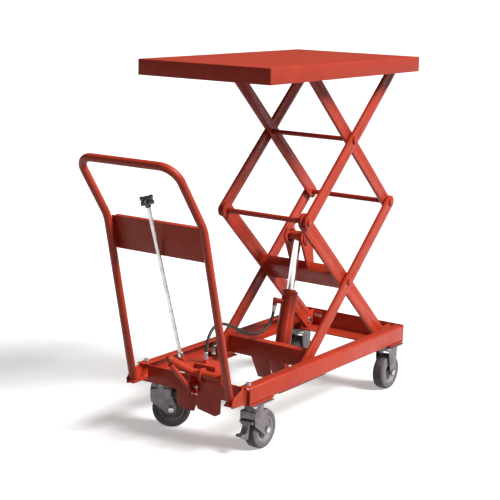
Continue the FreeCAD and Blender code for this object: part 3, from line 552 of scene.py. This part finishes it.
# --------------------------------------------------------------- wheels
# Upper half profiles as (radius, height) in mm, from the inside outwards.
TYRE_HALF = [(43.2, 19.4), (45.5, 20.6), (52.0, 21.0), (56.0, 20.7), (58.6, 19.7), (60.8, 17.9),
             (62.3, 15.4), (63.0, 12.4), (63.35, 8.0), (63.5, 0.6)]
CENTRE_HALF = [(6.2, 22.9), (11.6, 22.9), (12.9, 21.8), (14.4, 16.0), (17.0, 13.4), (21.0, 12.6),
               (29.5, 12.6), (31.6, 13.6), (33.8, 17.6), (36.0, 19.6), (38.0, 20.0), (41.8, 20.0),
               (43.1, 19.1)]
TYRE_STEPS, CENTRE_STEPS = 112, 80
RIB_COUNT = 8
RIB_MIDDLE_RADIUS, RIB_LENGTH, RIB_THICKNESS, RIB_DEPTH = 23.4, 20.0, 2.4, 27.6
# How far each wheel is swung about its upright axis, in degrees.
WHEEL_SWING = {"front_left": -55.0, "front_right": 0.0, "rear_left": 0.0, "rear_right": 0.0}


def wheel_place(node, swing):
    """Where a wheel drawn about Z stands, from the frame's own box."""
    low, high = (Vector(corner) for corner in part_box(node))
    stand = Matrix.Rotation(math.radians(swing), 4, "Z") @ Matrix.Rotation(math.radians(-90.0), 4, "X")
    return Matrix.Translation((low + high) / 2) @ stand


def wheels():
    """A rounded tyre and a ribbed centre on each of the four wheels."""
    ribs = rib_tree()
    for stem, swing in WHEEL_SWING.items():
        place = wheel_place(stem + "_tyre", swing)
        tyre = turned(both_faces(TYRE_HALF), TYRE_STEPS)
        tyre.transform(place)
        place_piece(stem + "_tyre_moulded", tyre, FINISHES["tyre_rubber"], stem + "_wheel",
                    [stem + "_tyre"])
        centre = grown(turned(both_faces(CENTRE_HALF), CENTRE_STEPS), ribs, **{
            "Ribs": RIB_COUNT, "Middle radius": RIB_MIDDLE_RADIUS * MM, "Rib length": RIB_LENGTH * MM,
            "Rib thickness": RIB_THICKNESS * MM, "Rib depth": RIB_DEPTH * MM,
            "Coat": FINISHES["hub_plastic"]})
        centre.transform(place)
        place_piece(stem + "_centre_moulded", centre, FINISHES["hub_plastic"], stem + "_wheel",
                    [stem + "_hub"])


# --------------------------------------------------------------- bolts
# Places and sizes in mm.
HANDLE_BOLT_X, HANDLE_BOLT_Y, FOOT_TOP = -297.0, 201.0, 229.0
REAR_FACE, REAR_BOLT_Z, REAR_BOLT_YS = 643.0, 205.0, (133.0, 151.0)
PLATE_UNDERSIDE = 160.0
PLATE_BOLT_X, PLATE_BOLT_Y = 40.0, 32.0
SMALL_BOLT = 0.8
HEAD_RADIUS, HEAD_HEIGHT = 8.2, 5.6
WASHER_RADIUS, WASHER_THICKNESS = 10.5, 1.7
CASTER_PLACES = [(-238.0, 185.0), (-238.0, -185.0), (593.0, 185.0), (593.0, -185.0)]


def points_facing(spots):
    """Loose points with a direction and a size, for the bolt tree."""
    mesh = bpy.data.meshes.new("spots")
    mesh.from_pydata([Vector(place) * MM for place, _, _ in spots], [], [])
    mesh.attributes.new("facing", "FLOAT_VECTOR", "POINT")
    mesh.attributes.new("size", "FLOAT", "POINT")
    for index, (_, direction, scale) in enumerate(spots):
        mesh.attributes["facing"].data[index].vector = direction
        mesh.attributes["size"].data[index].value = scale
    return mesh


def frame_screws():
    """Bolts of the handle feet, the rear brackets and the four caster plates."""
    up, down, forward = (0, 0, 1), (0, 0, -1), (-1, 0, 0)
    spots = [((HANDLE_BOLT_X, HANDLE_BOLT_Y * side, FOOT_TOP), up, 1.0) for side in (1, -1)]
    spots += [((REAR_FACE, y * side, REAR_BOLT_Z), forward, SMALL_BOLT)
              for side in (1, -1) for y in REAR_BOLT_YS]
    spots += [((x + across * PLATE_BOLT_X, y + along * PLATE_BOLT_Y, PLATE_UNDERSIDE), down, SMALL_BOLT)
              for x, y in CASTER_PLACES for across in (1, -1) for along in (1, -1)]
    mesh = grown(points_facing(spots), bolt_tree(), **{
        "Head radius": HEAD_RADIUS * MM, "Head height": HEAD_HEIGHT * MM,
        "Washer radius": WASHER_RADIUS * MM, "Washer thickness": WASHER_THICKNESS * MM,
        "Coat": FINISHES["bright_steel"]})
    place_piece("frame_screws", mesh, FINISHES["bright_steel"], "chassis", ["frame_bolts"])


# --------------------------------------------------------------- welds
# Where the seams run, in mm: the handle's panel, its foot, the lower arms, and the pedal's lugs.
PANEL_CENTRE = Vector((-481.3, 0.0, 685.0))
PANEL_UP = Vector((-0.2402, 0.0, 0.9707))
PANEL_OUT = Vector((-0.9707, 0.0, -0.2402))
PANEL_SEAM_PROUD, PANEL_SEAM_Y, PANEL_SEAM_ENDS = 2.0, 176.0, (-50.0, 28.0)
FOOT_RING_X, FOOT_RING_Y, FOOT_RING_Z = -373.0, 190.0, 186.6
FOOT_RING_RADIUS, FOOT_RING_STEPS = 13.6, 24
# The lower inner arm's slope in degrees, and its middle.
ARM_ANGLE = 42.4
LOWER_CENTRE = Vector((327.8, 0.0, 438.9))
BEAM_SEAM_Y = 147.0
BEAM_SEAM_LOW, BEAM_SEAM_ENDS = -13.0, (-54.0, 39.0)
BEAM_SEAM_X, BEAM_SEAM_HEIGHTS = -56.0, (-11.0, 21.0)
LEVER_FACES, LEVER_SEAM_LOW, LEVER_SEAM_ENDS = (27.0, 37.0), -6.0, (-47.0, 8.0)
TIE_SEAM_X, TIE_SEAM_Y, TIE_SEAM_HEIGHTS = 99.2, 163.2, (184.0, 237.0)
LUG_SEAM_X, LUG_SEAM_HEIGHTS = -311.8, (207.0, 221.0)
LUG_FACES = (-129.0, -119.0, -47.0, -37.0)
BEAD_RADIUS, RIPPLE_PITCH = 2.1, 2.0


def on_lower_arm(points):
    """Points drawn in the lower inner arm's own frame, brought to where it is."""
    turn = Matrix.Rotation(math.radians(ARM_ANGLE), 4, "Y")
    return [turn @ Vector(point) + LOWER_CENTRE for point in points]


def line_mesh(lines):
    """Loose edges along lines in mm, for the weld tree."""
    mesh = bpy.data.meshes.new("seams")
    points, edges = [], []
    for line in lines:
        start = len(points)
        points += [Vector(point) * MM for point in line]
        edges += [(start + step, start + step + 1) for step in range(len(line) - 1)]
    mesh.from_pydata(points, edges, [])
    return mesh


def seams():
    """The welds that show, as lines in mm, for each body."""
    chassis, inner, outer = [], [], []
    circle = [2 * math.pi * step / FOOT_RING_STEPS for step in range(FOOT_RING_STEPS + 1)]
    for side in (1, -1):
        face = PANEL_CENTRE + PANEL_OUT * PANEL_SEAM_PROUD + Vector((0, PANEL_SEAM_Y * side, 0))
        chassis.append([face + PANEL_UP * along for along in PANEL_SEAM_ENDS])
        chassis.append([(FOOT_RING_X + FOOT_RING_RADIUS * math.cos(angle),
                         FOOT_RING_Y * side + FOOT_RING_RADIUS * math.sin(angle), FOOT_RING_Z)
                        for angle in circle])
        inner.append(on_lower_arm([(x, BEAM_SEAM_Y * side, BEAM_SEAM_LOW) for x in BEAM_SEAM_ENDS]))
        inner.append(on_lower_arm([(BEAM_SEAM_X, BEAM_SEAM_Y * side, z) for z in BEAM_SEAM_HEIGHTS]))
        for y in LEVER_FACES:
            inner.append(on_lower_arm([(x, y * side, LEVER_SEAM_LOW) for x in LEVER_SEAM_ENDS]))
        outer.append([(TIE_SEAM_X, TIE_SEAM_Y * side, z) for z in TIE_SEAM_HEIGHTS])
    for y in LUG_FACES:
        chassis.append([(LUG_SEAM_X, y, z) for z in LUG_SEAM_HEIGHTS])
    return {"chassis": chassis, "lower_inner": inner, "lower_outer": outer}


def welds():
    """One piece of weld beads on each body that has seams."""
    tree = weld_tree()
    for seed, (body, lines) in enumerate(seams().items()):
        mesh = grown(line_mesh(lines), tree, **{
            "Bead radius": BEAD_RADIUS * MM, "Ripple pitch": RIPPLE_PITCH * MM, "Seed": seed,
            "Coat": FINISHES["red_paint"]})
        place_piece(body + "_welds", mesh, FINISHES["red_paint"], body)


# --------------------------------------------------------------- knob
# Each ring's height along the rod, middle radius and lobe height, in mm.
KNOB_RINGS = [(-16.0, 8.4, 0.0), (-15.4, 9.3, 0.0), (-6.0, 9.6, 0.0), (-2.5, 10.6, 0.4), (-0.6, 13.4, 3.6),
              (0.6, 16.6, 7.6), (2.2, 18.0, 8.4), (9.4, 18.0, 8.4), (11.0, 16.8, 7.8), (11.9, 15.0, 5.6),
              (12.8, 12.6, 1.6), (14.6, 11.4, 0.2), (15.0, 10.0, 0.0)]
KNOB_STEPS = 96
KNOB_LOBES = 4
ROD_FOOT = Vector((-320.0, 42.5, 282.0))
ROD_TOP = Vector((-561.0, -14.7, 808.0))
KNOB_SET_BACK = 1.0


def release_knob():
    """A four-lobed clamping knob moulded round the end of the release rod."""
    line = (ROD_TOP - ROD_FOOT).normalized()
    form = bmesh.new()
    rings = []
    for height, middle, lobe in KNOB_RINGS:
        ring = []
        for step in range(KNOB_STEPS):
            angle = 2 * math.pi * step / KNOB_STEPS
            radius = (middle + lobe * math.cos(KNOB_LOBES * angle)) * MM
            ring.append(form.verts.new((radius * math.cos(angle), radius * math.sin(angle), height * MM)))
        rings.append(ring)
    skinned(form, rings)
    mesh = mesh_of(form, "release_knob_moulded", MOULDED_CRISP_ANGLE)
    mesh.transform(Matrix.Translation((ROD_TOP - line * KNOB_SET_BACK) * MM) @ turn_onto(line))
    place_piece("release_knob_moulded", mesh, FINISHES["knob_plastic"], "release",
                ["release_knob"])


# --------------------------------------------------------------- ram
BARREL_FOOT = Vector((180.295, 0.0, 151.718))
ROD_EYE = Vector((269.215, 0.0, 582.347))
RAM_LINE = (ROD_EYE - BARREL_FOOT).normalized()
# In mm from the barrel's foot along the ram: where the eye starts, and the heights in the
# wiper's profile of (radius, height).
EYE_START = 420.0
WIPER = [(14.2, 254.2), (17.2, 254.2), (17.2, 255.05), (16.4, 255.15), (14.2, 255.15)]
WIPER_STEPS = 72


def painted_eye(ram):
    """Paints the eye that is welded on the end of the chromed bar."""
    ram.data.materials.append(FINISHES["red_paint"])
    for face in ram.data.polygons:
        if RAM_LINE.dot(face.center / MM - BARREL_FOOT) > EYE_START:
            face.material_index = 1


def rod_wiper():
    """Rubber wiper lip where the rod leaves the gland."""
    lip = turned(WIPER, WIPER_STEPS)
    lip.transform(Matrix.Translation(BARREL_FOOT * MM) @ turn_onto(RAM_LINE))
    place_piece("rod_wiper", lip, FINISHES["hose_rubber"], "lift_barrel")


# --------------------------------------------------------------- hose
# The route, radius and length are in metres.
HOSE_RADIUS = 0.005
HOSE_POINTS = [
    (-0.245, 0.0, 0.262), (-0.245, 0.0, 0.302), (-0.225, 0.003, 0.339), (-0.187, 0.0085, 0.359),
    (-0.136, 0.015, 0.354), (-0.075, 0.022, 0.330), (-0.010, 0.0285, 0.299), (0.046, 0.032, 0.278),
    (0.094, 0.033, 0.266), (0.140, 0.031, 0.279), (0.1705, 0.029, 0.3069), (0.17975, 0.029, 0.35185)]
HOSE_FINENESS = 16
HOSE_SIDES, CRIMP_SIDES, NUT_SIDES = 20, 28, 6
# The crimp's length along the hose.
CRIMP_LENGTH = 0.023
# Radii in mm, at even steps over the crimp's length.
CRIMP_RADII = [5.1, 6.3, 6.5, 6.5, 5.9, 6.5, 6.5, 5.9, 6.5, 6.5, 5.9, 6.5, 6.5, 6.3, 5.3]
NUT_RADIUS, NUT_CHAMFER = 8.4, 0.9
NUT_LAST_STEP = 4
NUT_SHARES = (-0.1, 0.0, 0.9, 1.0)


def hose_spline():
    """The hose's own smooth line, read from a spline on the route's points."""
    line = bpy.data.curves.new("hose_line", "CURVE")
    line.dimensions = "3D"
    spline = line.splines.new("NURBS")
    spline.points.add(len(HOSE_POINTS) - 1)
    for point, place in zip(spline.points, HOSE_POINTS):
        point.co = (*place, 1.0)
    spline.order_u = 3
    spline.use_endpoint_u = True
    spline.resolution_u = HOSE_FINENESS
    mesh = settled(linked("hose_line", line))
    points = [vertex.co.copy() for vertex in mesh.vertices]
    bpy.data.meshes.remove(mesh)
    return points


def swept_tube(points, radii, around):
    """A closed tube with some sides along points, with a radius in metres at each."""
    form = bmesh.new()
    heading = (points[1] - points[0]).normalized()
    side = heading.orthogonal().normalized()
    rings = []
    for index, point in enumerate(points):
        before, after = points[max(index - 1, 0)], points[min(index + 1, len(points) - 1)]
        onward = (after - before).normalized()
        side = (heading.rotation_difference(onward) @ side).normalized()
        heading = onward
        other = heading.cross(side)
        ring = []
        for step in range(around):
            angle = 2 * math.pi * step / around
            arm = side * math.cos(angle) + other * math.sin(angle)
            ring.append(form.verts.new(point + arm * radii[index]))
        rings.append(ring)
    skinned(form, rings)
    return mesh_of(form, "swept", MOULDED_CRISP_ANGLE)


def stretch_of(points, length, count):
    """Even points over the first length of a line."""
    walked = [0.0]
    for first, second in zip(points, points[1:]):
        walked.append(walked[-1] + (second - first).length)
    places, index = [], 0
    for step in range(count):
        wanted = length * step / (count - 1)
        while index < len(walked) - 2 and walked[index + 1] < wanted:
            index += 1
        share = (wanted - walked[index]) / (walked[index + 1] - walked[index])
        places.append(points[index].lerp(points[index + 1], share))
    return places


def hose_end(name, points, body):
    """A crimped ferrule with its hexagon nut, over one end of the hose."""
    steps = stretch_of(points, CRIMP_LENGTH, len(CRIMP_RADII))
    crimp = swept_tube(steps, [radius * MM for radius in CRIMP_RADII], CRIMP_SIDES)
    nut_line = [points[0].lerp(steps[NUT_LAST_STEP], share) for share in NUT_SHARES]
    chamfered = NUT_RADIUS - NUT_CHAMFER
    nut_radii = [radius * MM for radius in (chamfered, NUT_RADIUS, NUT_RADIUS, chamfered)]
    nut = swept_tube(nut_line, nut_radii, NUT_SIDES)
    return place_piece(name, merged([crimp, nut]), FINISHES["bright_steel"], body)


def pressure_hose():
    """The hose from the pump to the port near the top of the barrel.

    It rides on the chassis and can't lengthen, so when the platform rises past rest its end parts from the
    port.
    """
    line = hose_spline()
    mesh = swept_tube(line, [HOSE_RADIUS] * len(line), HOSE_SIDES)
    tube = place_piece("pressure_hose", mesh, FINISHES["hose_rubber"], "chassis",
                       ["hydraulic_hose"])
    ends = [hose_end("hose_end_at_pump", line, "chassis"),
            hose_end("hose_end_at_port", line[::-1], "lift_barrel")]
    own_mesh(tube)


# ------------------------------------------------------------ light, floor
FLOOR_SIZE = 260.0
# Painted light: the floor's own glow, which lightens the shadow cast on it.
FLOOR_SHADOW_LIFTING_GLOW = 0.35
FILL_STRENGTH = 0.16
BACKDROP_TONE = (0.93, 0.92, 0.91)
KEY_FROM = (0.22, -0.92, 0.90)
KEY_STRENGTH, KEY_SOFTNESS = 4.9, 24.0
LAMP_PLACE, LAMP_TARGET = (0.3, -0.2, 3.6), (0.2, 0.0, 1.0)
LAMP_SIZE, LAMP_WATTS = 1.8, 6.0


def stage():
    """A pale floor, a dim surround, a soft key from the -Y side and a lamp overhead.

    The floor glows a little, a painted light that lightens the object's shadow on it, and throws no
    diffuse light back on the object.
    """
    bpy.ops.mesh.primitive_plane_add(size=FLOOR_SIZE, location=(0.0, 0.0, 0.0))
    floor = bpy.context.object
    floor.name = "floor"
    pale = Finish("pale_floor_with_painted_glow", (0.85, 0.845, 0.84), 0.9)
    pale.roughness(pale.spread(pale.noise(3.0), 0.8, 0.9))
    # Painted light: the floor's emission lightens the object's shadow on the floor.
    pale.set(Emission_Color=(1.0, 0.99, 0.98, 1.0), Emission_Strength=FLOOR_SHADOW_LIFTING_GLOW)
    coat(floor, pale.material)
    floor.visible_diffuse = False
    surround()
    sun("key", KEY_FROM, KEY_STRENGTH, KEY_SOFTNESS)
    lamp("overhead", LAMP_PLACE, LAMP_TARGET, LAMP_SIZE, LAMP_WATTS)
    bpy.context.scene.view_settings.view_transform = "Standard"


def surround():
    """A dim even fill, which the camera sees as a pale backdrop."""
    world = bpy.data.worlds.new("surround")
    bpy.context.scene.world = world
    world.use_nodes = True
    tree = world.node_tree
    fill = tree.nodes["Background"]
    fill.inputs["Color"].default_value = (1.0, 0.97, 0.94, 1.0)
    fill.inputs["Strength"].default_value = FILL_STRENGTH
    backdrop = tree.nodes.new("ShaderNodeBackground")
    backdrop.inputs["Color"].default_value = (*BACKDROP_TONE, 1.0)
    seen = tree.nodes.new("ShaderNodeLightPath")
    pick = tree.nodes.new("ShaderNodeMixShader")
    tree.links.new(seen.outputs["Is Camera Ray"], pick.inputs["Fac"])
    tree.links.new(fill.outputs["Background"], pick.inputs[1])
    tree.links.new(backdrop.outputs["Background"], pick.inputs[2])
    tree.links.new(pick.outputs["Shader"], tree.nodes["World Output"].inputs["Surface"])


def sun(name, towards, strength, softness):
    """A soft light from one direction, its softness in degrees, even over the floor."""
    data = bpy.data.lights.new(name, "SUN")
    data.energy = strength
    data.angle = math.radians(softness)
    light = linked(name, data)
    light.rotation_euler = (-Vector(towards)).to_track_quat("-Z", "Y").to_euler()


def lamp(name, place, target, size, watts):
    """A round lamp that looks at a target."""
    data = bpy.data.lights.new(name, "AREA")
    data.shape = "DISK"
    data.size = size
    data.energy = watts
    light = linked(name, data)
    light.location = place
    aim = Vector(target) - Vector(place)
    light.rotation_euler = aim.to_track_quat("-Z", "Y").to_euler()


set_camera()
pressure_hose()
for name, thing in frame["nodes"].items():
    coat(thing, FINISHES[SLOT_OF[name]])
dressed("deck_pan", DECK_BREAK, finish=deck_top_coat())
for name in EDGED:
    dressed(name)
for name in ROUND_WORK:
    dressed(name, ROUND_BREAK, 1, keep_flat=False)
painted_eye(dressed("cylinder_rod", ROUND_BREAK, 1, keep_flat=False))
dressed("rod_end_pin", ROUND_BREAK, 1, finish=FINISHES["red_paint"], keep_flat=False)
wheels()
frame_screws()
welds()
release_knob()
rod_wiper()
stage()
